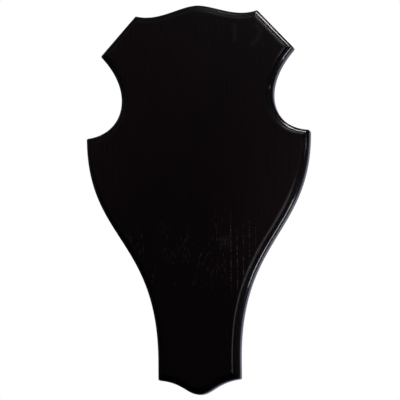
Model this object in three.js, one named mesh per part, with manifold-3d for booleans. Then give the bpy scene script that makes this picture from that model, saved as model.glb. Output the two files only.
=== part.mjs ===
// A wooden trophy plaque: a crested shield board glued up from three staves, with a moulded front edge,
// stopped tongue-and-groove joints along its seams, and a keyhole hanger screwed into a pocket in its back.
// Millimetres. +X is right, +Z is up, the front faces -Y and the back lies in the plane Y = 0.
// The origin is where the wall screw sits, at the upper end of the hanger's slot.
import * as THREE from "three";
import { mergeVertices } from "three/addons/utils/BufferGeometryUtils.js";
import Module from "manifold-3d";

const wasm = await Module();
wasm.setup();

// ---------------------------------------------------------------- driving dimensions

// The board as a whole.
const boardHeight = 450; // from the top of the crest to the tip of the foot
const boardWidth = 262; // across the two wing points
const boardThickness = 20;
const crestAboveSeat = 64; // the crest's top above the wall screw's seat

// The outline's corners, each given for one half and measured down from the crest.
const crestWidth = 144; // between the two top corners
const topCornerDrop = 9;
const shoulderInset = 17; // how far the shoulder points lie inside the wing points
const shoulderDrop = 55;
const wingDrop = 151;
const tailWidth = 95;
const footHeight = 17; // from the tail's corners down to the tip
const tailStraight = 22; // the upright stretch above the tail's corners
const cornerRadius = 2;

// The curves between the corners. A reach is the length of the curve's tangent at that end, and an
// angle is counted from the horizontal.
const crestReach = 20;
const crestHollowReach = 28;
const topCornerRise = 17;
const bayUpperAngle = 47;
const bayUpperReach = 62;
const bayLowerAngle = 4;
const bayLowerReach = 44;
const flankUpperReach = 118;
const flankLowerReach = 141;
const footAngle = 6;
const footReach = 29;
const tipReach = 14;

// The moulding along the front edge, from the face outwards: a small step, a cove, a bead and a ledge.
const stepDepth = 0.8;
const coveWidth = 2.6;
const coveDepth = 2.8;
const beadWidth = 3.6;
const beadDepth = 4.6;
const ledgeWidth = 0.7;
const backArris = 0.5;

// The staves and their joints.
const leftNeck = 26; // the left stave's narrowest width, at the bay
const rightSeam = 34; // the right seam's distance from the middle
const glueLine = 0.1;
const tongueThickness = 6;
const tongueDepth = 7;
const tongueStop = 26; // how far a tongue stops short of the outline
const tongueClearance = 0.2;

// The keyhole hanger, its screws and its pocket.
const plateWidth = 18;
const plateThickness = 2;
const plateRecess = 0.2; // how far the plate lies below the back
const plateClearance = 0.3; // round the plate's edge
const plateBedding = 0.1; // under the plate
const slotWidth = 5.2;
const entryRadius = 5.5;
const entryDrop = 16; // from the seat down to the middle of the entry hole
const upperScrewRise = 10; // from the seat up to the upper screw
const lowerScrewDrop = 28; // from the seat down to the lower screw
const headPocketWidth = 13;
const headPocketDepth = 6.2; // below the plate's bed
const screwShankRadius = 1.75;
const screwHeadRadius = 3.5;
const screwHeadRim = 0.4;
const screwLength = 12;
const screwTipLength = 3;
const screwClearance = 0.15;
const crossLength = 3.8;
const crossWidth = 0.9;
const crossDepth = 1.4;

// How finely curves are divided.
const crestSteps = 12;
const baySteps = 12;
const flankSteps = 14;
const footSteps = 8;
const cornerSteps = 3;
const mouldingSteps = 4;
const roundSteps = 24;

// ---------------------------------------------------------------- derived places

const mouldingWidth = coveWidth + beadWidth + ledgeWidth;
const wingX = boardWidth / 2;
const crestZ = crestAboveSeat;
const plateBackY = -plateRecess;
const plateFrontY = plateBackY - plateThickness;
const bedY = plateFrontY - plateBedding;

// ---------------------------------------------------------------- solids from geometry

function toSolid(geometry) {
  const bare = geometry.clone();
  bare.deleteAttribute("normal");
  bare.deleteAttribute("uv");
  const merged = mergeVertices(bare, 1e-4);
  return new wasm.Manifold(
    new wasm.Mesh({
      numProp: 3,
      vertProperties: new Float32Array(merged.attributes.position.array),
      triVerts: new Uint32Array(merged.index.array),
    }),
  );
}

function toGeometry(solid) {
  const mesh = solid.getMesh();
  const geometry = new THREE.BufferGeometry();
  geometry.setAttribute("position", new THREE.BufferAttribute(mesh.vertProperties, mesh.numProp));
  geometry.setIndex(new THREE.BufferAttribute(mesh.triVerts, 1));
  geometry.computeVertexNormals();
  return geometry;
}

// A box between two opposite corners.
function boxSolid(low, high) {
  const size = high.map((value, axis) => value - low[axis]);
  const geometry = new THREE.BoxGeometry(...size);
  geometry.translate(...low.map((value, axis) => value + size[axis] / 2));
  return toSolid(geometry);
}

// A shape drawn in X and Z, solid from the depth backY forward to frontY.
function slabGeometry(shape, backY, frontY) {
  const geometry = new THREE.ExtrudeGeometry(shape, {
    depth: backY - frontY,
    bevelEnabled: false,
    curveSegments: roundSteps / 2,
  });
  geometry.rotateX(Math.PI / 2);
  geometry.translate(0, backY, 0);
  return geometry;
}

// An upright slot with round ends, centred on the middle line.
function capsuleShape(radius, lowZ, highZ) {
  const shape = new THREE.Shape();
  shape.absarc(0, highZ, radius, 0, Math.PI, false);
  shape.absarc(0, lowZ, radius, Math.PI, 2 * Math.PI, false);
  shape.closePath();
  return shape;
}

// A solid of revolution about an axis along Y, from points of radius and Y given from front to back.
function turnedSolid(profile, centreZ) {
  const geometry = new THREE.LatheGeometry(
    profile.map(([radius, y]) => new THREE.Vector2(radius, y)),
    roundSteps,
  );
  geometry.translate(0, 0, centreZ);
  return toSolid(geometry);
}

// ---------------------------------------------------------------- the board's outline

// A unit vector at an angle from +X towards +Z.
function heading(degrees) {
  const angle = THREE.MathUtils.degToRad(degrees);
  return new THREE.Vector2(Math.cos(angle), Math.sin(angle));
}

// A Bezier curve that leaves its start and reaches its end along the given headings.
function sweep(start, startHeading, startReach, end, endHeading, endReach) {
  const startHandle = start.clone().addScaledVector(heading(startHeading), startReach);
  const endHandle = end.clone().addScaledVector(heading(endHeading), -endReach);
  return new THREE.CubicBezierCurve(start, startHandle, endHandle, end);
}

// The right half of the outline, walked clockwise from the crest to the tip: one smooth stretch between
// each corner and the next.
function outlineStretches() {
  const peak = new THREE.Vector2(0, crestZ);
  const topCorner = new THREE.Vector2(crestWidth / 2, crestZ - topCornerDrop);
  const shoulder = new THREE.Vector2(wingX - shoulderInset, crestZ - shoulderDrop);
  const wing = new THREE.Vector2(wingX, crestZ - wingDrop);
  const tip = new THREE.Vector2(0, crestZ - boardHeight);
  const tailCorner = new THREE.Vector2(tailWidth / 2, tip.y + footHeight);
  const tailTop = new THREE.Vector2(tailCorner.x, tailCorner.y + tailStraight);
  return [
    {
      curves: [sweep(peak, 0, crestReach, topCorner, topCornerRise, crestHollowReach)],
      steps: crestSteps,
    },
    { curves: [new THREE.LineCurve(topCorner, shoulder)], steps: 2 },
    {
      curves: [sweep(shoulder, 180 + bayUpperAngle, bayUpperReach, wing, -bayLowerAngle, bayLowerReach)],
      steps: baySteps,
    },
    {
      curves: [
        sweep(wing, -90, flankUpperReach, tailTop, -90, flankLowerReach),
        new THREE.LineCurve(tailTop, tailCorner),
      ],
      steps: flankSteps,
    },
    {
      curves: [sweep(tailCorner, 180 + footAngle, footReach, tip, 180, tipReach)],
      steps: footSteps,
    },
  ].map(({ curves, steps }) => {
    const path = new THREE.CurvePath();
    curves.forEach((curve) => path.add(curve));
    return { path, steps };
  });
}

// The point at a fraction of a stretch, moved inwards by an inset, and the outward normal there.
function insetPoint(stretch, fraction, inset) {
  const point = stretch.path.getPointAt(fraction);
  const tangent = stretch.path.getTangentAt(fraction);
  const normal = new THREE.Vector2(-tangent.y, tangent.x);
  return { point: point.addScaledVector(normal, -inset), normal };
}

// Where two neighbouring stretches meet once both have moved inwards: the fraction on each, found by
// closing in on the crossing with Newton steps.
function meetingFractions(before, after, inset) {
  const lengths = [before.path.getLength(), after.path.getLength()];
  let a = 1 - inset / lengths[0];
  let b = inset / lengths[1];
  for (let round = 0; round < 12; round += 1) {
    const p = insetPoint(before, a, inset);
    const q = insetPoint(after, b, inset);
    const gap = q.point.clone().sub(p.point);
    const u = new THREE.Vector2(p.normal.y, -p.normal.x);
    const v = new THREE.Vector2(q.normal.y, -q.normal.x);
    const cross = u.x * v.y - u.y * v.x;
    a += (gap.x * v.y - gap.y * v.x) / cross / lengths[0];
    b += (gap.x * u.y - gap.y * u.x) / cross / lengths[1];
    a = Math.min(a, 1);
    b = Math.max(b, 0);
  }
  return [a, b];
}

// The whole outline, moved inwards by an inset, as X and Z points in a fixed order and number. Corners
// keep their radius less the inset, and past that they stay mitred with the slightest rounding.
const leastRadius = 0.1;
const stretches = outlineStretches();

function outlineAt(inset) {
  const trim = Math.max(cornerRadius, inset + leastRadius);
  const push = trim - inset;
  const starts = [0];
  const ends = [];
  for (let i = 0; i + 1 < stretches.length; i += 1) {
    const [a, b] = meetingFractions(stretches[i], stretches[i + 1], trim);
    ends.push(a);
    starts.push(b);
  }
  ends.push(1);
  const half = [];
  stretches.forEach((stretch, i) => {
    const placed = [];
    for (let step = 0; step <= stretch.steps; step += 1) {
      const fraction = starts[i] + ((ends[i] - starts[i]) * step) / stretch.steps;
      placed.push(insetPoint(stretch, fraction, trim));
    }
    if (half.length) {
      const turnFrom = half[half.length - 1].normal;
      const turnTo = placed[0].normal;
      const full = Math.atan2(turnFrom.x * turnTo.y - turnFrom.y * turnTo.x, turnFrom.dot(turnTo));
      for (let step = 1; step < cornerSteps; step += 1) {
        const normal = turnFrom.clone().rotateAround(new THREE.Vector2(), (full * step) / cornerSteps);
        half.push({ point: placed[0].point, normal });
      }
    }
    half.push(...placed);
  });
  const right = half.map(({ point, normal }) => point.clone().addScaledVector(normal, push));
  right[0].x = 0;
  right[right.length - 1].x = 0;
  const left = right.slice(1, -1).reverse();
  return [...right, ...left.map((point) => new THREE.Vector2(-point.x, point.y))];
}

// The lowest and highest Z of the full outline at a given X.
function outlineSpan(x) {
  const points = outlineAt(0);
  const crossings = [];
  points.forEach((p, i) => {
    const q = points[(i + 1) % points.length];
    if (p.x > x !== q.x > x) crossings.push(p.y + ((x - p.x) / (q.x - p.x)) * (q.y - p.y));
  });
  return [Math.min(...crossings), Math.max(...crossings)];
}

// How far the bays leave the board on each side of the middle, at their deepest.
function bayHalfWidth() {
  const bay = stretches[2].path.getSpacedPoints(60);
  return Math.min(...bay.map((point) => point.x));
}

// ---------------------------------------------------------------- the moulded blank

// The moulding's profile as an inset from the outline and a depth below the face.
function mouldingProfile() {
  const levels = [[mouldingWidth, 0]];
  const beadTop = stepDepth + coveDepth;
  for (let step = 0; step <= mouldingSteps; step += 1) {
    const angle = ((Math.PI / 2) * step) / mouldingSteps;
    levels.push([
      mouldingWidth - coveWidth * (1 - Math.cos(angle)),
      stepDepth + coveDepth * Math.sin(angle),
    ]);
  }
  for (let step = 1; step <= mouldingSteps; step += 1) {
    const angle = ((Math.PI / 2) * step) / mouldingSteps;
    levels.push([
      ledgeWidth + beadWidth * (1 - Math.sin(angle)),
      beadTop + beadDepth * (1 - Math.cos(angle)),
    ]);
  }
  levels.push([0, beadTop + beadDepth]);
  levels.push([0, boardThickness - backArris]);
  levels.push([backArris, boardThickness]);
  return levels;
}

function mouldedBlank() {
  const levels = mouldingProfile();
  const rings = levels.map(([inset]) => outlineAt(inset));
  const count = rings[0].length;
  const positions = [];
  rings.forEach((ring, level) => {
    ring.forEach((point) => positions.push(point.x, levels[level][1] - boardThickness, point.y));
  });
  const indices = [];
  for (let level = 0; level + 1 < rings.length; level += 1) {
    for (let i = 0; i < count; i += 1) {
      const j = (i + 1) % count;
      const front = level * count;
      const back = front + count;
      indices.push(front + i, front + j, back + j, front + i, back + j, back + i);
    }
  }
  const last = (rings.length - 1) * count;
  THREE.ShapeUtils.triangulateShape(rings[0], []).forEach(([a, b, c]) => indices.push(a, b, c));
  THREE.ShapeUtils.triangulateShape(rings[rings.length - 1], []).forEach(([a, b, c]) =>
    indices.push(last + a, last + c, last + b),
  );
  const geometry = new THREE.BufferGeometry();
  geometry.setAttribute("position", new THREE.Float32BufferAttribute(positions, 3));
  geometry.setIndex(indices);
  return toSolid(geometry);
}

// ---------------------------------------------------------------- the three staves

const beyond = boardWidth + boardHeight; // past every edge of the board
const middleY = -boardThickness / 2;

// The part of the blank between two seams.
function stave(blank, lowX, highX) {
  return blank.intersect(boxSolid([lowX, -beyond, -beyond], [highX, beyond, beyond]));
}

// The tongue along a seam, reaching left from it, or with a clearance all round, its groove.
function tongueSolid(seamX, clearance) {
  const [lowZ, highZ] = outlineSpan(seamX);
  const halfThickness = tongueThickness / 2 + clearance;
  return boxSolid(
    [seamX - glueLine / 2 - tongueDepth - clearance, middleY - halfThickness, lowZ + tongueStop - clearance],
    [seamX + glueLine, middleY + halfThickness, highZ - tongueStop + clearance],
  );
}

function hangerPocket() {
  const plateBed = slabGeometry(
    capsuleShape(plateWidth / 2 + plateClearance, -lowerScrewDrop, upperScrewRise),
    1,
    bedY,
  );
  const headRoom = slabGeometry(
    capsuleShape(headPocketWidth / 2, -entryDrop, 0),
    1,
    bedY - headPocketDepth,
  );
  const pilots = [upperScrewRise, -lowerScrewDrop].map((z) => {
    const tipY = plateBackY - screwLength;
    const radius = screwShankRadius + screwClearance;
    const profile = [
      [0, tipY - screwClearance * 2],
      [radius * 0.2, tipY - screwClearance * 2],
      [radius, tipY + screwTipLength],
      [radius, 1],
      [0, 1],
    ];
    return turnedSolid(profile, z);
  });
  return pilots.reduce((cut, pilot) => cut.add(pilot), toSolid(plateBed).add(toSolid(headRoom)));
}

function makeStaves() {
  const blank = mouldedBlank();
  const leftSeam = -(bayHalfWidth() - leftNeck);
  const half = glueLine / 2;
  const left = stave(blank, -beyond, leftSeam - half).subtract(tongueSolid(leftSeam, tongueClearance));
  const centre = stave(blank, leftSeam + half, rightSeam - half)
    .add(tongueSolid(leftSeam, 0))
    .subtract(tongueSolid(rightSeam, tongueClearance))
    .subtract(hangerPocket());
  const right = stave(blank, rightSeam + half, beyond).add(tongueSolid(rightSeam, 0));
  return { left, centre, right };
}

// ---------------------------------------------------------------- the hanger and its screws

function keyholeHanger() {
  const plate = toSolid(
    slabGeometry(capsuleShape(plateWidth / 2, -lowerScrewDrop, upperScrewRise), plateBackY, plateFrontY),
  );
  const slot = toSolid(slabGeometry(capsuleShape(slotWidth / 2, -entryDrop, 0), 1, plateFrontY - 1));
  const entry = turnedSolid(
    [
      [0, plateFrontY - 1],
      [entryRadius, plateFrontY - 1],
      [entryRadius, 1],
      [0, 1],
    ],
    -entryDrop,
  );
  const sinks = [upperScrewRise, -lowerScrewDrop].map((z) => {
    const shank = screwShankRadius + screwClearance;
    const head = screwHeadRadius + screwClearance;
    const rimY = plateBackY - screwHeadRim;
    const profile = [
      [0, plateFrontY - 1],
      [shank, plateFrontY - 1],
      [shank, rimY - (head - shank)],
      [head, rimY],
      [head, 1],
      [0, 1],
    ];
    return turnedSolid(profile, z);
  });
  return sinks.reduce((solid, sink) => solid.subtract(sink), plate.subtract(slot).subtract(entry));
}

function hangerScrew(z) {
  const headY = plateBackY;
  const rimY = headY - screwHeadRim;
  const tipY = headY - screwLength;
  const body = turnedSolid(
    [
      [0, tipY],
      [screwShankRadius * 0.2, tipY],
      [screwShankRadius, tipY + screwTipLength],
      [screwShankRadius, rimY - (screwHeadRadius - screwShankRadius)],
      [screwHeadRadius, rimY],
      [screwHeadRadius, headY],
      [0, headY],
    ],
    z,
  );
  const across = crossLength / 2;
  const slim = crossWidth / 2;
  const depths = [headY - crossDepth, headY + 1];
  const level = boxSolid([-across, depths[0], z - slim], [across, depths[1], z + slim]);
  const upright = boxSolid([-slim, depths[0], z - across], [slim, depths[1], z + across]);
  return body.subtract(level.add(upright));
}

// ---------------------------------------------------------------- the assembly

const stainedWood = new THREE.MeshStandardMaterial({ color: 0x1c100e, roughness: 0.38, metalness: 0 });
const zincSteel = new THREE.MeshStandardMaterial({ color: 0xb9bcc0, roughness: 0.35, metalness: 1 });

function addPart(group, name, solid, material) {
  const mesh = new THREE.Mesh(toGeometry(solid), material.clone());
  mesh.name = name;
  group.add(mesh);
}

const plaque = new THREE.Group();
plaque.name = "trophy_plaque";

const staves = makeStaves();
addPart(plaque, "left_board", staves.left, stainedWood);
addPart(plaque, "centre_board", staves.centre, stainedWood);
addPart(plaque, "right_board", staves.right, stainedWood);
addPart(plaque, "keyhole_hanger", keyholeHanger(), zincSteel);
addPart(plaque, "hanger_screw_upper", hangerScrew(upperScrewRise), zincSteel);
addPart(plaque, "hanger_screw_lower", hangerScrew(-lowerScrewDrop), zincSteel);

export default plaque;
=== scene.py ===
"""A wooden trophy plaque, dark stained and lacquered: the fine meshes, materials, lights and camera
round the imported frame. Shapes are worked out in millimetres and scaled to metres as they become meshes.
+X is right, +Z is up, the front faces -Y, and the back lies in the plane Y = 0."""

import functools
import math

import bmesh
import bpy
import numpy as np
from mathutils import Euler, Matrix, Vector


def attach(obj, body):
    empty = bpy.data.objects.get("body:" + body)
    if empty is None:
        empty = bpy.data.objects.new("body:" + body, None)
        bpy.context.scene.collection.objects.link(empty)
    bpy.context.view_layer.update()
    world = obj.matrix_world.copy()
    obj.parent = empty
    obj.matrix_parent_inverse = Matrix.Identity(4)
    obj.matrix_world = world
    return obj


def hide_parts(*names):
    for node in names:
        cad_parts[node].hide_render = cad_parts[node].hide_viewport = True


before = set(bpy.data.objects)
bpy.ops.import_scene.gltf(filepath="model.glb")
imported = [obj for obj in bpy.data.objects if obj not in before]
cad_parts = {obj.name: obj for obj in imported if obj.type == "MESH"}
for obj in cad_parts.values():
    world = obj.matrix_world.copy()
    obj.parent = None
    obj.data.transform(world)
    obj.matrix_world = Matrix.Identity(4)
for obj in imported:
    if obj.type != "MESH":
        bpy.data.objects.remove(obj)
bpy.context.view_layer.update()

MM = 0.001

# ---------------------------------------------------------------- dimensions shared with the frame

BOARD_HEIGHT = 450
BOARD_WIDTH = 262
BOARD_THICKNESS = 20
CREST_ABOVE_SEAT = 64

CREST_WIDTH = 144
TOP_CORNER_DROP = 9
SHOULDER_INSET = 17
SHOULDER_DROP = 55
WING_DROP = 151
TAIL_WIDTH = 95
FOOT_HEIGHT = 17
TAIL_STRAIGHT = 22
CORNER_RADIUS = 2

CREST_REACH = 20
CREST_HOLLOW_REACH = 28
TOP_CORNER_RISE = 17
BAY_UPPER_ANGLE = 47
BAY_UPPER_REACH = 62
BAY_LOWER_ANGLE = 4
BAY_LOWER_REACH = 44
FLANK_UPPER_REACH = 118
FLANK_LOWER_REACH = 141
FOOT_ANGLE = 6
FOOT_REACH = 29
TIP_REACH = 14

STEP_DEPTH = 0.8
COVE_WIDTH = 2.6
COVE_DEPTH = 2.8
BEAD_WIDTH = 3.6
BEAD_DEPTH = 4.6
LEDGE_WIDTH = 0.7
BACK_ARRIS = 0.5

LEFT_NECK = 26
RIGHT_SEAM = 34
GLUE_LINE = 0.1
TONGUE_THICKNESS = 6
TONGUE_DEPTH = 7
TONGUE_STOP = 26
TONGUE_CLEARANCE = 0.2

PLATE_WIDTH = 18
PLATE_THICKNESS = 2
PLATE_RECESS = 0.2
PLATE_CLEARANCE = 0.3
PLATE_BEDDING = 0.1
SLOT_WIDTH = 5.2
ENTRY_RADIUS = 5.5
ENTRY_DROP = 16
UPPER_SCREW_RISE = 10
LOWER_SCREW_DROP = 28
HEAD_POCKET_WIDTH = 13
HEAD_POCKET_DEPTH = 6.2
SCREW_SHANK_RADIUS = 1.75
SCREW_HEAD_RADIUS = 3.5
SCREW_HEAD_RIM = 0.4
SCREW_LENGTH = 12
SCREW_TIP_LENGTH = 3
SCREW_TIP_SHARE = 0.2  # the tip's radius as a share of the shank's
SCREW_CLEARANCE = 0.15
CROSS_LENGTH = 3.8
CROSS_WIDTH = 0.9
CROSS_DEPTH = 1.4

# ---------------------------------------------------------------- finer shapes than the frame's

FACE_ROLL_WIDTH = 5  # how far in from its edge the sanded face begins to fall away
FACE_ROLL_DROP = 0.32
FACE_ARRIS = 0.15
LEDGE_ARRIS = 0.3
FLAT_MARGIN = 1.5  # a flat ring inside each rounded edge, so that the flats shade flat

SCREW_CORE_RADIUS = 1.2
SCREW_THREAD_PITCH = 1.3
SCREW_PLAIN_TIP = 0.2  # the length of the tip that has no thread
SCREW_HEAD_EDGE = 0.12  # the rounding of the head's rim
CROSS_TAPER = 0.45
CROSS_OVERRUN = 0.5  # how far the cutter of the cross stands out of the head
PLATE_BEVEL = 0.15

CREST_STEPS = 40
DIAGONAL_STEPS = 6
BAY_STEPS = 44
FLANK_STEPS = 72
FOOT_STEPS = 26
CORNER_STEPS = 6
CURVE_SAMPLES = 400
COVE_STEPS = 10
BEAD_STEPS = 14
ROLL_STEPS = 12
ARRIS_STEPS = 5
ROUND_STEPS = 64
SHANK_STEPS = 90
FLOOR_STEPS = 96
NEWTON_STEPS = 14
LEAST_RADIUS = 0.1

MOULDING_WIDTH = COVE_WIDTH + BEAD_WIDTH + LEDGE_WIDTH
WING_X = BOARD_WIDTH / 2
PLATE_BACK_Y = -PLATE_RECESS
PLATE_FRONT_Y = PLATE_BACK_Y - PLATE_THICKNESS
BED_Y = PLATE_FRONT_Y - PLATE_BEDDING
MIDDLE_Y = -BOARD_THICKNESS / 2
BEAD_TOP = STEP_DEPTH + COVE_DEPTH

# The first two material slots of a board. The third holds the bare wood of its cuts.
LACQUERED, BACK_STAINED = range(2)

# ---------------------------------------------------------------- the board's outline


def heading(degrees):
    angle = math.radians(degrees)
    return np.array([math.cos(angle), math.sin(angle)])


def sweep(start, start_heading, start_reach, end, end_heading, end_reach):
    """A Bezier curve's points and unit tangents. A reach is the length of its tangent at that end."""
    first = np.array(start, float)
    last = np.array(end, float)
    second = first + start_reach * heading(start_heading)
    third = last - end_reach * heading(end_heading)
    t = np.linspace(0, 1, CURVE_SAMPLES)[:, None]
    s = 1 - t
    points = s**3 * first + 3 * s**2 * t * second + 3 * s * t**2 * third + t**3 * last
    slopes = s**2 * (second - first) + 2 * s * t * (third - second) + t**2 * (last - third)
    return points, slopes / np.linalg.norm(slopes, axis=1, keepdims=True)


def straight(start, end):
    first = np.array(start, float)
    last = np.array(end, float)
    points = np.linspace(first, last, CURVE_SAMPLES)
    tangent = (last - first) / np.linalg.norm(last - first)
    return points, np.tile(tangent, (CURVE_SAMPLES, 1))


class Stretch:
    """A smooth piece of the outline between two corners, read by its fraction of length."""

    def __init__(self, curves, steps):
        self.points = np.vstack([points for points, _ in curves])
        self.tangents = np.vstack([tangents for _, tangents in curves])
        self.steps = steps
        strides = np.linalg.norm(np.diff(self.points, axis=0), axis=1)
        self.lengths = np.concatenate([[0], np.cumsum(strides)])
        self.length = self.lengths[-1]

    def inset(self, fractions, inset):
        """Points moved inwards by an inset, and the outward normals there."""
        along = np.atleast_1d(fractions) * self.length
        point = np.column_stack([np.interp(along, self.lengths, self.points[:, k]) for k in (0, 1)])
        tangent = np.column_stack([np.interp(along, self.lengths, self.tangents[:, k]) for k in (0, 1)])
        tangent /= np.linalg.norm(tangent, axis=1, keepdims=True)
        normal = np.column_stack([-tangent[:, 1], tangent[:, 0]])
        return point - inset * normal, normal


def outline_stretches():
    """The right half of the outline, clockwise from the crest to the tip."""
    crest_z = CREST_ABOVE_SEAT
    peak = (0, crest_z)
    top_corner = (CREST_WIDTH / 2, crest_z - TOP_CORNER_DROP)
    shoulder = (WING_X - SHOULDER_INSET, crest_z - SHOULDER_DROP)
    wing = (WING_X, crest_z - WING_DROP)
    tip = (0, crest_z - BOARD_HEIGHT)
    tail_corner = (TAIL_WIDTH / 2, tip[1] + FOOT_HEIGHT)
    tail_top = (tail_corner[0], tail_corner[1] + TAIL_STRAIGHT)
    crest = sweep(peak, 0, CREST_REACH, top_corner, TOP_CORNER_RISE, CREST_HOLLOW_REACH)
    bay = sweep(
        shoulder, 180 + BAY_UPPER_ANGLE, BAY_UPPER_REACH, wing, -BAY_LOWER_ANGLE, BAY_LOWER_REACH
    )
    flank = sweep(wing, -90, FLANK_UPPER_REACH, tail_top, -90, FLANK_LOWER_REACH)
    foot = sweep(tail_corner, 180 + FOOT_ANGLE, FOOT_REACH, tip, 180, TIP_REACH)
    return [
        Stretch([crest], CREST_STEPS),
        Stretch([straight(top_corner, shoulder)], DIAGONAL_STEPS),
        Stretch([bay], BAY_STEPS),
        Stretch([flank, straight(tail_top, tail_corner)], FLANK_STEPS),
        Stretch([foot], FOOT_STEPS),
    ]


STRETCHES = outline_stretches()


def meeting_fractions(before, after, inset):
    """Where two neighbouring stretches cross once both have moved inwards, found by Newton steps."""
    a = 1 - inset / before.length
    b = inset / after.length
    for _ in range(NEWTON_STEPS):
        p, p_normal = before.inset(a, inset)
        q, q_normal = after.inset(b, inset)
        gap = q[0] - p[0]
        u = (p_normal[0, 1], -p_normal[0, 0])
        v = (q_normal[0, 1], -q_normal[0, 0])
        cross = u[0] * v[1] - u[1] * v[0]
        a += (gap[0] * v[1] - gap[1] * v[0]) / cross / before.length
        b += (gap[0] * u[1] - gap[1] * u[0]) / cross / after.length
        a = min(a, 1)
        b = max(b, 0)
    return a, b


def outline_at(inset):
    """The whole outline moved inwards by an inset, as rows of X and Z in a fixed order and number."""
    trim = max(CORNER_RADIUS, inset + LEAST_RADIUS)
    push = trim - inset
    meetings = [meeting_fractions(a, b, trim) for a, b in zip(STRETCHES, STRETCHES[1:])]
    starts = [0] + [b for _, b in meetings]
    ends = [a for a, _ in meetings] + [1]
    points = []
    normals = []
    for stretch, start, end in zip(STRETCHES, starts, ends):
        placed, facing = stretch.inset(np.linspace(start, end, stretch.steps + 1), trim)
        if points:
            before = math.atan2(normals[-1][1], normals[-1][0])
            turn = math.atan2(facing[0][1], facing[0][0]) - before
            turn = (turn + math.pi) % (2 * math.pi) - math.pi
            for step in range(1, CORNER_STEPS):
                angle = before + turn * step / CORNER_STEPS
                points.append(placed[0])
                normals.append(np.array([math.cos(angle), math.sin(angle)]))
        points.extend(placed)
        normals.extend(facing)
    right = np.array(points) + push * np.array(normals)
    right[[0, -1], 0] = 0
    left = right[-2:0:-1] * (-1, 1)
    return np.vstack([right, left])


def outline_span(x):
    """The lowest and highest Z of the full outline at a given X."""
    ring = outline_at(0)
    after = np.roll(ring, -1, axis=0)
    crossed = (ring[:, 0] > x) != (after[:, 0] > x)
    p = ring[crossed]
    q = after[crossed]
    z = p[:, 1] + (x - p[:, 0]) / (q[:, 0] - p[:, 0]) * (q[:, 1] - p[:, 1])
    return z.min(), z.max()


LEFT_SEAM = LEFT_NECK - STRETCHES[2].points[:, 0].min()

# ---------------------------------------------------------------- meshes


def object_from(name, mesh_data):
    """A new object from a bmesh or from vertices in millimetres and faces."""
    mesh = bpy.data.meshes.new(name)
    if isinstance(mesh_data, bmesh.types.BMesh):
        mesh_data.to_mesh(mesh)
        mesh_data.free()
    else:
        vertices, faces = mesh_data
        mesh.from_pydata((np.asarray(vertices, float) * MM).tolist(), [], faces)
    piece = bpy.data.objects.new(name, mesh)
    bpy.context.scene.collection.objects.link(piece)
    return piece


def facing_out(piece):
    work = bmesh.new()
    work.from_mesh(piece.data)
    bmesh.ops.recalc_face_normals(work, faces=work.faces)
    work.to_mesh(piece.data)
    work.free()
    return piece


def skin(rings, closed_ends=True):
    """Vertices and faces through rings of equal length, capped with a flat face at each end."""
    count = len(rings[0])
    vertices = np.vstack(rings)
    faces = []
    for level in range(len(rings) - 1):
        for i in range(count):
            j = (i + 1) % count
            front = level * count
            faces.append((front + i, front + j, front + count + j, front + count + i))
    if closed_ends:
        faces.append(tuple(range(count)))
        faces.append(tuple(range(len(vertices) - 1, len(vertices) - count - 1, -1)))
    return vertices, faces


def ring_at(ring, y):
    """A ring of X and Z as points in space, all at one Y."""
    return np.column_stack([ring[:, 0], np.full(len(ring), y), ring[:, 1]])


def slab(name, ring, back_y, front_y):
    """A flat outline in X and Z, solid between two depths."""
    levels = [ring_at(ring, back_y), ring_at(ring, front_y)]
    return facing_out(object_from(name, skin(levels)))


def box_piece(name, low, high):
    ring = np.array([(low[0], low[2]), (high[0], low[2]), (high[0], high[2]), (low[0], high[2])])
    return slab(name, ring, high[1], low[1])


def capsule_ring(radius, low_z, high_z):
    """An upright slot's outline with round ends, centred on the middle line."""
    half = np.linspace(0, math.pi, ROUND_STEPS // 2 + 1)
    upper = np.column_stack([np.cos(half), np.sin(half)]) * radius + (0, high_z)
    lower = np.column_stack([-np.cos(half), -np.sin(half)]) * radius + (0, low_z)
    return np.vstack([upper, lower])


def turned(name, profile, centre_z, wobble=None):
    """A solid of revolution about an axis along Y, from points of radius and Y. A wobble changes the
    radius by place and angle, as a thread does."""
    angles = np.linspace(0, 2 * math.pi, ROUND_STEPS, endpoint=False)
    rings = []
    for radius, y in profile:
        radii = np.full(ROUND_STEPS, radius) if wobble is None else wobble(radius, y, angles)
        ring = np.column_stack([radii * np.cos(angles), centre_z + radii * np.sin(angles)])
        rings.append(ring_at(ring, y))
    return facing_out(object_from(name, skin(rings)))


def combine(piece, tool, operation):
    """Joins a tool to a piece or cuts it away, keeping the tool's materials on the new faces."""
    modifier = piece.modifiers.new("combine", "BOOLEAN")
    modifier.operation = operation
    modifier.solver = "EXACT"
    modifier.material_mode = "TRANSFER"
    modifier.object = tool
    apply_modifiers(piece)
    tool_mesh = tool.data
    bpy.data.objects.remove(tool)
    bpy.data.meshes.remove(tool_mesh)


def apply_modifiers(piece):
    bpy.context.view_layer.update()
    graph = bpy.context.evaluated_depsgraph_get()
    made = bpy.data.meshes.new_from_object(piece.evaluated_get(graph))
    old = piece.data
    piece.modifiers.clear()
    piece.data = made
    bpy.data.meshes.remove(old)


def shade(piece, sharp_angle=34):
    for polygon in piece.data.polygons:
        polygon.use_smooth = True
    piece.data.set_sharp_from_angle(angle=math.radians(sharp_angle))


def coat(piece, material):
    """Gives the whole piece one material, in place of the empty slots that a Boolean leaves."""
    piece.data.materials.clear()
    piece.data.materials.append(material)


def finish_piece(piece, node):
    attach(piece, "root")
    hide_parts(node)


# ---------------------------------------------------------------- the moulded blank


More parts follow.
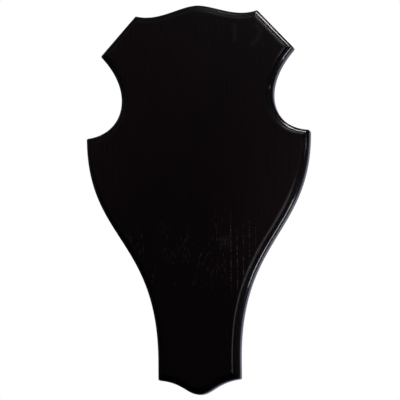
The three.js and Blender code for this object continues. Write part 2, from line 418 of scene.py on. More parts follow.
def moulding_profile():
    """Insets from the outline and depths below the face, from the face's flat to the back's flat."""
    quarter = math.pi / 2
    levels = [(MOULDING_WIDTH + FACE_ROLL_WIDTH + FLAT_MARGIN, 0)]
    for step in range(ROLL_STEPS + 1):
        share = step / ROLL_STEPS
        inset = MOULDING_WIDTH + FACE_ARRIS + (FACE_ROLL_WIDTH - FACE_ARRIS) * (1 - share)
        levels.append((inset, FACE_ROLL_DROP * share**4))
    for step in range(1, ARRIS_STEPS + 1):
        angle = quarter * step / ARRIS_STEPS
        inset = MOULDING_WIDTH + FACE_ARRIS * (1 - math.sin(angle))
        levels.append((inset, FACE_ROLL_DROP + FACE_ARRIS * (1 - math.cos(angle))))
    for step in range(COVE_STEPS + 1):
        angle = quarter * step / COVE_STEPS
        inset = MOULDING_WIDTH - COVE_WIDTH * (1 - math.cos(angle))
        levels.append((inset, STEP_DEPTH + COVE_DEPTH * math.sin(angle)))
    for step in range(1, BEAD_STEPS + 1):
        angle = quarter * step / BEAD_STEPS
        inset = LEDGE_WIDTH + BEAD_WIDTH * (1 - math.sin(angle))
        levels.append((inset, BEAD_TOP + BEAD_DEPTH * (1 - math.cos(angle))))
    ledge = BEAD_TOP + BEAD_DEPTH
    for step in range(ARRIS_STEPS + 1):
        angle = quarter * step / ARRIS_STEPS
        inset = LEDGE_ARRIS * (1 - math.sin(angle))
        levels.append((inset, ledge + LEDGE_ARRIS * (1 - math.cos(angle))))
    for step in range(ARRIS_STEPS + 1):
        angle = quarter * step / ARRIS_STEPS
        inset = BACK_ARRIS * (1 - math.cos(angle))
        levels.append((inset, BOARD_THICKNESS - BACK_ARRIS * (1 - math.sin(angle))))
    levels.append((BACK_ARRIS + FLAT_MARGIN, BOARD_THICKNESS))
    return levels


def moulded_blank():
    rings = []
    for inset, depth in moulding_profile():
        rings.append(ring_at(outline_at(inset), depth - BOARD_THICKNESS))
    blank = facing_out(object_from("blank", skin(rings)))
    for polygon in blank.data.polygons:
        on_back = polygon.center.y > -BACK_ARRIS * MM
        polygon.material_index = BACK_STAINED if on_back else LACQUERED
    return blank


# ---------------------------------------------------------------- the three staves


def cut_across(work, x, keep_right):
    """Cuts a closed bmesh with the upright plane at X, keeps one side, and closes the cut."""
    geometry = work.verts[:] + work.edges[:] + work.faces[:]
    cut = bmesh.ops.bisect_plane(
        work,
        geom=geometry,
        plane_co=(x * MM, 0, 0),
        plane_no=(1, 0, 0),
        clear_inner=keep_right,
        clear_outer=not keep_right,
    )
    edges = [item for item in cut["geom_cut"] if isinstance(item, bmesh.types.BMEdge)]
    made = bmesh.ops.contextual_create(work, geom=edges)
    for face in made["faces"]:
        face.material_index = LACQUERED


def stave(name, blank, low_x, high_x):
    work = bmesh.new()
    work.from_mesh(blank.data)
    if low_x is not None:
        cut_across(work, low_x, keep_right=True)
    if high_x is not None:
        cut_across(work, high_x, keep_right=False)
    bmesh.ops.recalc_face_normals(work, faces=work.faces)
    return object_from(name, work)


def tongue(seam_x, clearance):
    """The tongue along a seam, reaching left from it, or with a clearance all round, its groove."""
    low_z, high_z = outline_span(seam_x)
    half = TONGUE_THICKNESS / 2 + clearance
    low_x = seam_x - GLUE_LINE / 2 - TONGUE_DEPTH - clearance
    low = (low_x, MIDDLE_Y - half, low_z + TONGUE_STOP - clearance)
    high = (seam_x + GLUE_LINE, MIDDLE_Y + half, high_z - TONGUE_STOP + clearance)
    return box_piece("tongue", low, high)


def pocket_tools():
    """The plate's bed, the deeper room for the wall screw's head, and the two screws' pilot holes."""
    plate_ring = capsule_ring(PLATE_WIDTH / 2 + PLATE_CLEARANCE, -LOWER_SCREW_DROP, UPPER_SCREW_RISE)
    head_ring = capsule_ring(HEAD_POCKET_WIDTH / 2, -ENTRY_DROP, 0)
    tools = [
        slab("plate_bed", plate_ring, 1, BED_Y),
        slab("head_room", head_ring, 1, BED_Y - HEAD_POCKET_DEPTH),
    ]
    tip_y = PLATE_BACK_Y - SCREW_LENGTH
    radius = SCREW_SHANK_RADIUS + SCREW_CLEARANCE
    profile = [
        (radius * SCREW_TIP_SHARE, tip_y - SCREW_CLEARANCE * 2),
        (radius, tip_y + SCREW_TIP_LENGTH),
        (radius, 1),
    ]
    for z in (UPPER_SCREW_RISE, -LOWER_SCREW_DROP):
        tools.append(turned("pilot", profile, z))
    return tools


def make_staves(materials):
    blank = moulded_blank()
    half = GLUE_LINE / 2
    left = stave("left_stave", blank, None, LEFT_SEAM - half)
    centre = stave("centre_stave", blank, LEFT_SEAM + half, RIGHT_SEAM - half)
    right = stave("right_stave", blank, RIGHT_SEAM + half, None)
    bpy.data.objects.remove(blank)
    for piece in (left, centre, right):
        for material in (materials[piece.name], materials["back"], materials["bare"]):
            piece.data.materials.append(material)

    def bare(tool):
        tool.data.materials.append(materials["bare"])
        return tool

    combine(left, bare(tongue(LEFT_SEAM, TONGUE_CLEARANCE)), "DIFFERENCE")
    combine(centre, bare(tongue(LEFT_SEAM, 0)), "UNION")
    combine(centre, bare(tongue(RIGHT_SEAM, TONGUE_CLEARANCE)), "DIFFERENCE")
    for tool in pocket_tools():
        combine(centre, bare(tool), "DIFFERENCE")
    combine(right, bare(tongue(RIGHT_SEAM, 0)), "UNION")
    for piece, node in ((left, "left_board"), (centre, "centre_board"), (right, "right_board")):
        shade(piece)
        finish_piece(piece, node)


# ---------------------------------------------------------------- the hanger and its screws


def make_hanger(material):
    plate_ring = capsule_ring(PLATE_WIDTH / 2, -LOWER_SCREW_DROP, UPPER_SCREW_RISE)
    plate = slab("hanger_plate", plate_ring, PLATE_BACK_Y, PLATE_FRONT_Y)
    slot_ring = capsule_ring(SLOT_WIDTH / 2, -ENTRY_DROP, 0)
    combine(plate, slab("slot", slot_ring, 1, PLATE_FRONT_Y - 1), "DIFFERENCE")
    entry = [(ENTRY_RADIUS, PLATE_FRONT_Y - 1), (ENTRY_RADIUS, 1)]
    combine(plate, turned("entry", entry, -ENTRY_DROP), "DIFFERENCE")
    shank = SCREW_SHANK_RADIUS + SCREW_CLEARANCE
    head = SCREW_HEAD_RADIUS + SCREW_CLEARANCE
    rim_y = PLATE_BACK_Y - SCREW_HEAD_RIM
    sink = [(shank, PLATE_FRONT_Y - 1), (shank, rim_y - (head - shank)), (head, rim_y), (head, 1)]
    for z in (UPPER_SCREW_RISE, -LOWER_SCREW_DROP):
        combine(plate, turned("sink", sink, z), "DIFFERENCE")
    bevel = plate.modifiers.new("edges", "BEVEL")
    bevel.width = PLATE_BEVEL * MM
    bevel.segments = 2
    bevel.limit_method = "ANGLE"
    bevel.angle_limit = math.radians(40)
    apply_modifiers(plate)
    coat(plate, material)
    shade(plate, 20)
    finish_piece(plate, "keyhole_hanger")


def thread(radius, y, angles):
    """The screw's radius with its thread: a sharp ridge that climbs round a thinner core."""
    neck_y = PLATE_BACK_Y - SCREW_HEAD_RIM - (SCREW_HEAD_RADIUS - SCREW_SHANK_RADIUS)
    top = neck_y - SCREW_THREAD_PITCH / 2
    tip = PLATE_BACK_Y - SCREW_LENGTH
    if y > top or y < tip + SCREW_PLAIN_TIP:
        return np.full(len(angles), radius)
    phase = (y / SCREW_THREAD_PITCH + angles / (2 * math.pi)) % 1
    ridge = np.clip(1 - np.abs(phase - 0.5) * 4, 0, 1)
    core = radius * SCREW_CORE_RADIUS / SCREW_SHANK_RADIUS
    return core + (radius - core) * ridge


def make_screw(name, node, z, material):
    head_y = PLATE_BACK_Y
    rim_y = head_y - SCREW_HEAD_RIM
    tip_y = head_y - SCREW_LENGTH
    neck_y = rim_y - (SCREW_HEAD_RADIUS - SCREW_SHANK_RADIUS)
    profile = [(SCREW_SHANK_RADIUS * SCREW_TIP_SHARE, tip_y)]
    for step in range(1, SHANK_STEPS + 1):
        y = tip_y + (neck_y - tip_y) * step / SHANK_STEPS
        taper = min(1, SCREW_TIP_SHARE + (1 - SCREW_TIP_SHARE) * (y - tip_y) / SCREW_TIP_LENGTH)
        profile.append((SCREW_SHANK_RADIUS * taper, y))
    profile.append((SCREW_HEAD_RADIUS, rim_y))
    edge = SCREW_HEAD_EDGE
    profile.append((SCREW_HEAD_RADIUS, head_y - edge))
    profile.append((SCREW_HEAD_RADIUS - edge * 0.3, head_y - edge * 0.3))
    profile.append((SCREW_HEAD_RADIUS - edge, head_y))
    profile.append((SCREW_HEAD_RADIUS - edge - 0.3, head_y))
    screw = turned(name, profile, z, thread)
    across = CROSS_LENGTH / 2
    slim = CROSS_WIDTH / 2
    mouth = (head_y + CROSS_OVERRUN, 1 + CROSS_TAPER * CROSS_OVERRUN / CROSS_DEPTH)
    bottom = (head_y - CROSS_DEPTH, 1 - CROSS_TAPER)
    for long_x, long_z in ((across, slim), (slim, across)):
        rings = []
        for y, share in (mouth, bottom):
            wide = long_x * (share if long_x > slim else 1)
            tall = long_z * (share if long_z > slim else 1)
            low_z = z - tall
            high_z = z + tall
            ring = np.array([(-wide, low_z), (wide, low_z), (wide, high_z), (-wide, high_z)])
            rings.append(ring_at(ring, y))
        combine(screw, facing_out(object_from("cross", skin(rings))), "DIFFERENCE")
    coat(screw, material)
    shade(screw, 30)
    finish_piece(screw, node)


# ---------------------------------------------------------------- materials


class Shader:
    """A node material under construction. Inputs are numbers, colours or other nodes' outputs."""

    def __init__(self, name):
        self.material = bpy.data.materials.new(name)
        self.material.use_nodes = True
        self.tree = self.material.node_tree
        self.surface = self.tree.nodes["Principled BSDF"]

    def put(self, socket, value):
        if isinstance(value, bpy.types.NodeSocket):
            self.tree.links.new(value, socket)
        else:
            socket.default_value = value

    def add(self, kind, output=0, inputs=None, **settings):
        node = self.tree.nodes.new(kind)
        for key, value in settings.items():
            setattr(node, key, value)
        for key, value in (inputs or {}).items():
            self.put(node.inputs[key], value)
        return node.outputs[output]

    def math(self, operation, *values, clamp=False):
        inputs = dict(enumerate(values))
        return self.add("ShaderNodeMath", inputs=inputs, operation=operation, use_clamp=clamp)

    def vector(self, operation, *values, output=0):
        return self.add("ShaderNodeVectorMath", output, dict(enumerate(values)), operation=operation)

    def ramp(self, value, low, high, to_low=0.0, to_high=1.0):
        """Runs smoothly from one value to another as the input goes from low to high."""
        inputs = {"Value": value, "From Min": low, "From Max": high, "To Min": to_low, "To Max": to_high}
        return self.add("ShaderNodeMapRange", inputs=inputs, interpolation_type="SMOOTHSTEP")

    def mix(self, share, first, second):
        inputs = {0: share, 6: first, 7: second}
        return self.add("ShaderNodeMix", 2, inputs, data_type="RGBA")

    def noise(self, vector, scale, detail=2.0, roughness=0.5):
        inputs = {"Vector": vector, "Scale": scale, "Detail": detail, "Roughness": roughness}
        return self.add("ShaderNodeTexNoise", 0, inputs)

    def place(self):
        """The place on the object, in millimetres."""
        return self.vector("MULTIPLY", self.add("ShaderNodeTexCoord", 3), (1 / MM, 1 / MM, 1 / MM))

    def bump(self, height, strength=1.0):
        """A normal from a height in millimetres."""
        inputs = {"Height": height, "Strength": strength, "Distance": MM}
        return self.add("ShaderNodeBump", inputs=inputs)

    def finish(self, **values):
        for key, value in values.items():
            self.put(self.surface.inputs[key.replace("_", " ")], value)
        return self.material


def rgb(red, green, blue):
    return (red, green, blue, 1.0)


def growth_rings(shader, place, pith, lean, spacing, seed):
    """Where a point lies within its growth ring, from 0 to 1, for a trunk axis near the pith place that
    leans as it rises. The ring lines wander a little."""
    drifted = shader.vector("ADD", place, (seed * 37.0, seed * 91.0, seed * 53.0))
    slow = shader.vector("MULTIPLY", drifted, (1 / 55, 1 / 55, 1 / 240))
    wander = shader.add("ShaderNodeTexNoise", 1, {"Vector": slow, "Scale": 1.0, "Detail": 2.0})
    swing = shader.vector("MULTIPLY", shader.vector("SUBTRACT", wander, (0.5, 0.5, 0.5)), (26, 26, 0))
    apart = shader.add("ShaderNodeSeparateXYZ", 2, {0: place})
    leaning = shader.add("ShaderNodeCombineXYZ", inputs={0: apart, 1: apart, 2: 0.0})
    axis = shader.vector("MULTIPLY_ADD", leaning, (lean[0], lean[1], 0), (pith[0], pith[1], 0))
    flat = shader.vector("MULTIPLY", place, (1, 1, 0))
    offset = shader.vector("ADD", shader.vector("SUBTRACT", flat, axis), swing)
    radius = shader.vector("LENGTH", offset, output=1)
    return shader.math("FRACT", shader.math("DIVIDE", radius, spacing))


def pores(shader, place, wide, long, seed, size):
    """Short upright vessels: 1 in the middle of one, 0 between them."""
    drifted = shader.vector("ADD", place, (seed * 11.0, seed * 5.0, seed * 17.0))
    cells = shader.vector("MULTIPLY", drifted, (1 / wide, 1 / wide, 1 / long))
    inputs = {"Vector": cells, "Scale": 1.0, "Randomness": 1.0}
    nearest = shader.add("ShaderNodeTexVoronoi", 0, inputs, feature="F1")
    return shader.ramp(nearest, size, size * 0.45)


def wood_figure(shader, pith, lean, spacing, seed):
    """The parts of the grain that every wood surface here shares."""
    place = shader.place()
    ring = growth_rings(shader, place, pith, lean, spacing, seed)
    early = shader.math("MULTIPLY", shader.ramp(ring, 0.0, 0.06), shader.ramp(ring, 0.42, 0.12))
    streaks = shader.noise(shader.vector("MULTIPLY", place, (1 / 1.6, 1 / 1.6, 1 / 70)), 1.0, 3.0, 0.6)
    fibre = shader.noise(shader.vector("MULTIPLY", place, (1 / 0.35, 1 / 0.35, 1 / 12)), 1.0, 2.0, 0.6)
    clouds = shader.noise(shader.vector("MULTIPLY", place, (1 / 60, 1 / 60, 1 / 150)), 1.0, 1.0)
    return place, early, streaks, fibre, clouds


# Painted glints: pale specks painted in the open pores of a ragged belt across the board, and in a small
# round patch. Each pair is a soft edge.
GLINT_BELT_LOW = (-272, -246)
GLINT_BELT_HIGH = (-206, -172)
BELT_RAGGEDNESS = 70.0
GLINT_LINE_X = 40
GLINT_LINE_SPACING = 7.2
GLINT_LINE_END = (56, 76)
GLINT_PATCH_PLACE = (34, 0, -213)
GLINT_PATCH_EDGE = (1.0, 11.0)

# Two faint painted reflections near the top right corner, drawn as pale strokes, each as the points that
# it runs through.
PAINTED_REFLECTIONS = (
    ((47, 0, 20), (47, 0, 37)),
    ((67, 0, 13), (75, 0, 21), (77, 0, 29), (73, 0, 36)),
)
REFLECTION_REACH = 5.0

# Where the moulded edge changes, as depths below the face: from the face's stain to a painted shade that
# darkens the edge, from the face's gloss to the cove's dull lacquer, and from that to the bead's gloss.
EDGE_SHADE_DEPTHS = (0.35, 0.70)
GLOSS_FALLS = (0.31, 0.38)
GLOSS_RETURNS = (BEAD_TOP + 0.03, BEAD_TOP + 0.12)

STAIN_DEEP = rgb(0.0098, 0.0048, 0.0050)
STAIN_PALE = rgb(0.030, 0.0145, 0.0150)
STAIN_IN_PORES = rgb(0.004, 0.0022, 0.002)
# The colour of the painted shade on the moulded edge.
EDGE_SHADE_COLOUR = rgb(0.0035, 0.003, 0.004)
# The colour of the painted reflections near the top right corner.
REFLECTION_COLOUR = rgb(0.060, 0.052, 0.062)
# The colour of the painted glints in the pores.
GLINT_COLOUR = rgb(0.14, 0.138, 0.165)


def painted_pore_glints(shader, place, seed, in_lines):
    """Where the painted glints show: in clumps of short dashes or, on straight grain, in dotted lines."""
    x = shader.add("ShaderNodeSeparateXYZ", 0, {0: place})
    z = shader.add("ShaderNodeSeparateXYZ", 2, {0: place})
    ragged = shader.noise(shader.vector("MULTIPLY", place, (1 / 9, 0, 1 / 400)), 1.0, 1.0)
    lowered = shader.math("SUBTRACT", z, BELT_RAGGEDNESS / 2)
    z = shader.math("MULTIPLY_ADD", ragged, BELT_RAGGEDNESS, lowered)
    belt = shader.math("MULTIPLY", shader.ramp(z, *GLINT_BELT_LOW), shader.ramp(z, *GLINT_BELT_HIGH, 1.0, 0.0))
    if in_lines:
        past_first = shader.math("SUBTRACT", x, GLINT_LINE_X)
        phase = shader.math("PINGPONG", past_first, GLINT_LINE_SPACING / 2)
        line = shader.ramp(phase, 0.15, 0.75, 1.0, 0.0)
        line = shader.math("MULTIPLY", line, shader.ramp(x, *GLINT_LINE_END, 1.0, 0.0))
        dot_place = shader.vector("MULTIPLY", place, (0.12, 0, 0.5))
        dots = shader.ramp(shader.noise(dot_place, 1.0, 2.0), 0.44, 0.60)
        dashes = shader.math("MULTIPLY", line, dots)
    else:
        clump_place = shader.vector("MULTIPLY", place, (1 / 17, 1 / 17, 1 / 26))
        clumps = shader.ramp(shader.noise(clump_place, 1.0, 2.0), 0.42, 0.6)
        dashes = shader.math("MULTIPLY", clumps, pores(shader, place, 1.0, 13.0, seed + 5, 0.27))
    return shader.math("MULTIPLY", dashes, belt)


def glint_patch(shader, place):
    """A small round patch of painted glint specks."""
    apart = shader.vector("SUBTRACT", shader.vector("MULTIPLY", place, (1, 0, 1)), GLINT_PATCH_PLACE)
    near = shader.ramp(shader.vector("LENGTH", apart, output=1), *GLINT_PATCH_EDGE, 1.0, 0.0)
    specks = shader.ramp(shader.noise(place, 0.9, 2.0, 0.6), 0.50, 0.66)
    return shader.math("MULTIPLY", near, specks)


def reflection_stroke(shader, place, start, end):
    """A soft stroke of painted reflection along a straight line: 1 on the line and 0 from the stroke's
    reach outwards.
    """
    along = Vector(end) - Vector(start)
    length = along.length
    offset = shader.vector("SUBTRACT", shader.vector("MULTIPLY", place, (1, 0, 1)), start)
    reach = shader.vector("DOT_PRODUCT", offset, along.normalized(), output=1)
    reach = shader.math("MINIMUM", shader.math("MAXIMUM", reach, 0.0), length)
    reach = shader.add("ShaderNodeCombineXYZ", inputs={0: reach, 1: reach, 2: reach})
    nearest = shader.vector("MULTIPLY", reach, along.normalized())
    apart = shader.vector("LENGTH", shader.vector("SUBTRACT", offset, nearest), output=1)
    return shader.ramp(apart, 0.0, REFLECTION_REACH, 1.0, 0.0)


def y_at(depths):
    """Depths below the face as values of Y."""
    return [depth - BOARD_THICKNESS for depth in depths]


def stained_wood(name, pith, lean, spacing, seed, straight_grain=False):
    """Dark red-brown stain under lacquer: darker pores along the growth rings, paler early wood. The
    moulded edge is painted darker as shade, and its cove has little gloss. Glints and reflections are
    painted on the face."""
    shader = Shader(name)
    place, early, streaks, fibre, clouds = wood_figure(shader, pith, lean, spacing, seed)
    large = pores(shader, place, 0.62, 6.5, seed, 0.36)
    small = pores(shader, place, 0.45, 3.4, seed + 3, 0.24)
    in_rings = shader.math("MULTIPLY", large, early)
    open_pores = shader.math("MAXIMUM", in_rings, shader.math("MULTIPLY", small, 0.55))
    tone = shader.math("MULTIPLY_ADD", early, 0.12, shader.math("MULTIPLY", streaks, 0.55))
    tone = shader.math("MULTIPLY_ADD", clouds, 0.4, tone, clamp=True)
    ground = shader.mix(tone, STAIN_DEEP, STAIN_PALE)
    colour = shader.mix(shader.math("MULTIPLY", open_pores, 0.8), ground, STAIN_IN_PORES)
    # Painted reflections: two faint pale streaks near the top right corner.
    strokes = [reflection_stroke(shader, place, *ends) for points in PAINTED_REFLECTIONS for ends in zip(points, points[1:])]
    reflections = functools.reduce(lambda a, b: shader.math("MAXIMUM", a, b), strokes)
    colour = shader.mix(shader.math("MULTIPLY", reflections, 0.4), colour, REFLECTION_COLOUR)
    # Painted glints: pale specks in the pores of a belt across the face and in a small round patch.
    glints = painted_pore_glints(shader, place, seed, straight_grain)
    glints = shader.math("MAXIMUM", glints, glint_patch(shader, place))
    colour = shader.mix(glints, colour, GLINT_COLOUR)
    y = shader.add("ShaderNodeSeparateXYZ", 1, {0: place})
    # Painted shade: the moulded edge below the face is darkened.
    edge_shade = shader.ramp(y, *y_at(EDGE_SHADE_DEPTHS))
    colour = shader.mix(shader.math("MULTIPLY", edge_shade, 0.66), colour, EDGE_SHADE_COLOUR)
    orange_peel = shader.noise(place, 0.3, 1.0)
    height = shader.math("MULTIPLY", open_pores, -0.018)
    height = shader.math("MULTIPLY_ADD", fibre, 0.004, height)
    height = shader.math("MULTIPLY_ADD", early, -0.003, height)
    height = shader.math("MULTIPLY_ADD", orange_peel, 0.012, height)
    relief = shader.bump(height)
    below_face = shader.ramp(y, *y_at(GLOSS_FALLS))
    above_bead = shader.ramp(y, *y_at(GLOSS_RETURNS), 1.0, 0.0)
    in_cove = shader.math("MULTIPLY", below_face, above_bead)
    return shader.finish(
        Base_Color=colour,
        Roughness=shader.math("MULTIPLY_ADD", open_pores, 0.2, 0.42),
        Normal=relief,
        Specular_IOR_Level=0.08,
        Coat_Weight=shader.math("MULTIPLY_ADD", in_cove, -0.9, 1.0),
        Coat_Roughness=0.11,
        Coat_IOR=1.5,
        Coat_Normal=relief,
    )


def back_stain():
    """The unlacquered back: a thinner coat of stain, matt, with sanding marks across it."""
    shader = Shader("back_stain")
    place, early, streaks, fibre, clouds = wood_figure(shader, (-36, 34), (0.0, 0.03), 5.2, 1)
    large = pores(shader, place, 0.62, 6.5, 1, 0.38)
    open_pores = shader.math("MULTIPLY", large, shader.math("MULTIPLY_ADD", early, 0.8, 0.2))
    sanding = shader.noise(shader.vector("MULTIPLY", place, (1 / 18, 1.0, 1 / 0.5)), 1.0, 2.0)
    tone = shader.math("MULTIPLY_ADD", early, 0.4, shader.math("MULTIPLY", streaks, 0.6))
    tone = shader.math("ADD", tone, shader.math("MULTIPLY", clouds, 0.35), clamp=True)
    ground = shader.mix(tone, rgb(0.020, 0.0085, 0.0058), rgb(0.075, 0.033, 0.022))
    colour = shader.mix(shader.math("MULTIPLY", open_pores, 0.8), ground, rgb(0.008, 0.004, 0.003))
    height = shader.math("MULTIPLY", open_pores, -0.14)
    height = shader.math("MULTIPLY_ADD", fibre, 0.02, height)
    height = shader.math("MULTIPLY_ADD", sanding, 0.012, height)
    return shader.finish(
        Base_Color=colour,
        Roughness=shader.math("MULTIPLY_ADD", fibre, 0.2, 0.5),
        Normal=shader.bump(height),
        Specular_IOR_Level=0.35,
    )


def bare_wood():
    """The cut wood inside the pocket and the joints."""
    shader = Shader("bare_wood")
    place, early, streaks, fibre, clouds = wood_figure(shader, (-36, 34), (0.0, 0.03), 5.2, 1)
    large = pores(shader, place, 0.62, 6.5, 1, 0.36)
    tone = shader.math("MULTIPLY_ADD", early, 0.45, shader.math("MULTIPLY", streaks, 0.6), clamp=True)
    ground = shader.mix(tone, rgb(0.42, 0.25, 0.13), rgb(0.24, 0.125, 0.058))
    colour = shader.mix(shader.math("MULTIPLY", large, 0.6), ground, rgb(0.12, 0.06, 0.03))
    height = shader.math("MULTIPLY_ADD", fibre, 0.04, shader.math("MULTIPLY", large, -0.1))
    return shader.finish(
        Base_Color=colour,
        Roughness=shader.math("MULTIPLY_ADD", clouds, 0.1, 0.65),
        Normal=shader.bump(height),
        Specular_IOR_Level=0.3,
    )


def plated_steel(name, bright, dull, streak_length):
    """Zinc-plated steel: faint rolling streaks, spangles of uneven gloss and a few dull spots."""
    shader = Shader(name)
    place = shader.place()
    streak_place = shader.vector("MULTIPLY", place, (1 / 0.25, 1 / 0.25, 1 / streak_length))
    rolled = shader.noise(streak_place, 1.0, 3.0)
    patches = shader.noise(place, 0.35, 3.0, 0.6)
    spots = shader.ramp(shader.noise(place, 1.3, 2.0), 0.66, 0.74)
    tone = shader.math("MULTIPLY_ADD", rolled, 0.5, shader.math("MULTIPLY", patches, 0.6), clamp=True)
    plating = shader.mix(tone, dull, bright)
    colour = shader.mix(shader.math("MULTIPLY", spots, 0.5), plating, rgb(0.2, 0.19, 0.18))
    roughness = shader.math("MULTIPLY_ADD", patches, 0.2, 0.12)
    height = shader.math("MULTIPLY_ADD", rolled, 0.006, shader.math("MULTIPLY", spots, -0.004))
    return shader.finish(
        Base_Color=colour,
        Metallic=1.0,
        Roughness=shader.math("MULTIPLY_ADD", spots, 0.2, roughness, clamp=True),
        Normal=shader.bump(height),
    )


def floor_material():
    shader = Shader("studio_floor")
    return shader.finish(
        Base_Color=rgb(0.86, 0.86, 0.86),
        Roughness=0.9,
        Emission_Color=rgb(1.0, 1.0, 1.0),
        Emission_Strength=1.0,
    )


# ---------------------------------------------------------------- camera, lights and surroundings

CAMERA_PLACE = Vector((570.9, -2708.8, -524.8)) * MM
CAMERA_YAW = -0.2076  # turned towards -X
CAMERA_PITCH = 0.1304  # looking slightly up
CAMERA_ROLL = 0.0086
CAMERA_LENS = 218.24
SENSOR_WIDTH = 36.0


def make_camera():
    data = bpy.data.cameras.new("camera")
    data.lens = CAMERA_LENS
    data.sensor_width = SENSOR_WIDTH
    data.clip_start = 0.05
    data.clip_end = 100
    camera = bpy.data.objects.new("camera", data)
    camera.location = CAMERA_PLACE
    turned_by = Euler((0, 0, -CAMERA_YAW)).to_matrix()
    raised_by = Euler((math.pi / 2 + CAMERA_PITCH, 0, 0)).to_matrix()
    rolled_by = Euler((0, 0, -CAMERA_ROLL)).to_matrix()
    camera.rotation_euler = (turned_by @ raised_by @ rolled_by).to_euler()
    bpy.context.scene.collection.objects.link(camera)
    bpy.context.scene.camera = camera


def make_light(name, place, target, size, radiance, colour, mirrored):
    """A soft box of a given width, height and radiance, turned from its place to its target. It either
    shows as a reflection and gives no diffuse light, or gives diffuse light and isn't reflected."""
    data = bpy.data.lights.new(name, "AREA")
    data.shape = "RECTANGLE"
    data.size = size[0] * MM
    data.size_y = size[1] * MM
    data.energy = radiance * math.pi * data.size * data.size_y
    data.color = colour
    light = bpy.data.objects.new(name, data)
    light.location = Vector(place) * MM
    light.rotation_euler = (Vector(place) - Vector(target)).to_track_quat("Z", "Y").to_euler()
    light.visible_camera = False
    light.visible_glossy = mirrored
    light.visible_diffuse = not mirrored
    bpy.context.scene.collection.objects.link(light)


PLAIN = (1.0, 0.98, 0.98)  # white
PALE = (0.85, 0.88, 1.0)  # a pale, cool white


def make_lights():
    make_light("shoulder_box", (210, -78, 228), (96, -14, 32), (80, 80), 22.0, PLAIN, True)
    make_light("bay_box", (150, -500, 520), (114, -14, -76), (260, 170), 30.0, PLAIN, True)
    make_light("low_box", (1138, 204, -742), (83, -12, -215), (320, 260), 12.0, PLAIN, True)
    make_light("side_box", (1516, -1342, 48), (40, -20, -212), (300, 70), 14.0, PLAIN, True)
    make_light("front_box", (530, -2730, -320), (60, -20, -150), (380, 420), 1.3, PLAIN, True)
    make_light("right_wash", (235, -110, -60), (80, -20, -60), (60, 260), 1.05, PALE, False)
    make_light("flank_wash", (210, -80, -225), (80, -20, -210), (50, 140), 4.5, PALE, False)
    make_light("left_wash", (-235, -120, -60), (-90, -20, -80), (60, 300), 1.8, PALE, False)
    make_light("crest_wash", (20, -110, 170), (0, -20, 40), (240, 60), 1.2, PALE, False)
    make_light("foot_wash", (0, -140, -480), (0, -20, -330), (200, 60), 0.6, PALE, False)
    make_light("back_wash", (-350, 900, 450), (0, 0, -120), (900, 900), 3.2, PLAIN, False)


# The room that the lacquer mirrors, as soft patches of light: direction, the cosines where a patch
# begins and is full, and its radiance.
ROOM_LEVEL = (0.002, 0.002, 0.005)
ROOM_PATCHES = (
    ((0.1, 1.0, -0.1), 0.72, 0.98, (0.33, 0.34, 0.43)),
    ((-1.0, -0.15, 0.15), 0.80, 0.98, (0.07, 0.07, 0.08)),
    ((-0.7, -0.5, 0.6), 0.80, 0.97, (0.12, 0.12, 0.15)),
    ((0.6, -0.6, -0.45), 0.82, 0.97, (0.03, 0.03, 0.045)),
)


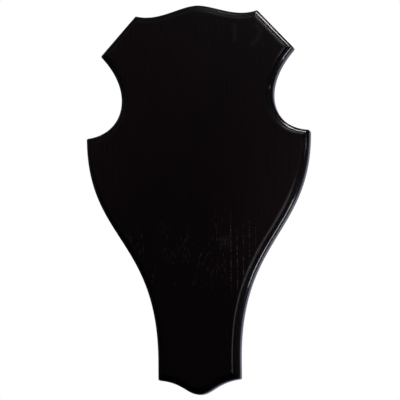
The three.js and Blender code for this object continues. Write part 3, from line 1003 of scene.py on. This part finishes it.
def make_world():
    """White to the camera. The object mirrors a dim room with soft patches of light, which gives it no
    diffuse light."""
    world = bpy.data.worlds.new("studio")
    world.use_nodes = True
    tree = world.node_tree
    tree.nodes.clear()
    direction = tree.nodes.new("ShaderNodeTexCoord").outputs["Generated"]
    total = tree.nodes.new("ShaderNodeCombineXYZ")
    for socket, value in zip(total.inputs, ROOM_LEVEL):
        socket.default_value = value
    total = total.outputs[0]
    for towards, begins, full, radiance in ROOM_PATCHES:
        cosine = tree.nodes.new("ShaderNodeVectorMath")
        cosine.operation = "DOT_PRODUCT"
        tree.links.new(direction, cosine.inputs[0])
        cosine.inputs[1].default_value = Vector(towards).normalized()
        share = tree.nodes.new("ShaderNodeMapRange")
        share.interpolation_type = "SMOOTHSTEP"
        share.inputs["From Min"].default_value = begins
        share.inputs["From Max"].default_value = full
        tree.links.new(cosine.outputs["Value"], share.inputs["Value"])
        summed = tree.nodes.new("ShaderNodeVectorMath")
        summed.operation = "MULTIPLY_ADD"
        tree.links.new(share.outputs[0], summed.inputs[0])
        summed.inputs[1].default_value = radiance
        tree.links.new(total, summed.inputs[2])
        total = summed.outputs[0]
    room = tree.nodes.new("ShaderNodeBackground")
    tree.links.new(total, room.inputs["Color"])
    backdrop = tree.nodes.new("ShaderNodeBackground")
    backdrop.inputs["Color"].default_value = (1, 1, 1, 1)
    ray = tree.nodes.new("ShaderNodeLightPath")
    mixed = tree.nodes.new("ShaderNodeMixShader")
    output = tree.nodes.new("ShaderNodeOutputWorld")
    tree.links.new(ray.outputs["Is Camera Ray"], mixed.inputs[0])
    tree.links.new(room.outputs[0], mixed.inputs[1])
    tree.links.new(backdrop.outputs[0], mixed.inputs[2])
    tree.links.new(mixed.outputs[0], output.inputs["Surface"])
    world.cycles_visibility.diffuse = False
    bpy.context.scene.world = world


FLOOR_DROP = 600  # below the tip: the plaque hangs on a wall
FLOOR_RADIUS = 12000


def make_floor():
    angles = np.linspace(0, 2 * math.pi, FLOOR_STEPS, endpoint=False)
    height = CREST_ABOVE_SEAT - BOARD_HEIGHT - FLOOR_DROP
    rim = np.column_stack(
        [FLOOR_RADIUS * np.cos(angles), FLOOR_RADIUS * np.sin(angles), np.full(len(angles), height)]
    )
    floor = object_from("studio_floor", (rim, [tuple(range(len(angles)))]))
    floor.data.materials.append(floor_material())
    floor.visible_glossy = False
    floor.visible_diffuse = False


# ---------------------------------------------------------------- the scene

make_camera()
left_wood = stained_wood("stained_wood_left", (-190, 20), (0.02, 0.0), 6.0, 2)
centre_wood = stained_wood("stained_wood_centre", (-34, 30), (-0.03, 0.12), 5.6, 1)
right_wood = stained_wood("stained_wood_right", (230, 40), (0.01, 0.0), 6.4, 5, straight_grain=True)
make_staves(
    {
        "left_stave": left_wood,
        "centre_stave": centre_wood,
        "right_stave": right_wood,
        "back": back_stain(),
        "bare": bare_wood(),
    }
)
make_hanger(plated_steel("zinc_plate", rgb(0.86, 0.86, 0.88), rgb(0.62, 0.62, 0.65), 14))
screw_finish = plated_steel("screw_zinc", rgb(0.90, 0.80, 0.54), rgb(0.66, 0.58, 0.40), 1.5)
make_screw("upper_screw", "hanger_screw_upper", UPPER_SCREW_RISE, screw_finish)
make_screw("lower_screw", "hanger_screw_lower", -LOWER_SCREW_DROP, screw_finish)
make_floor()
make_lights()
make_world()
bpy.context.scene.view_settings.view_transform = "Standard"
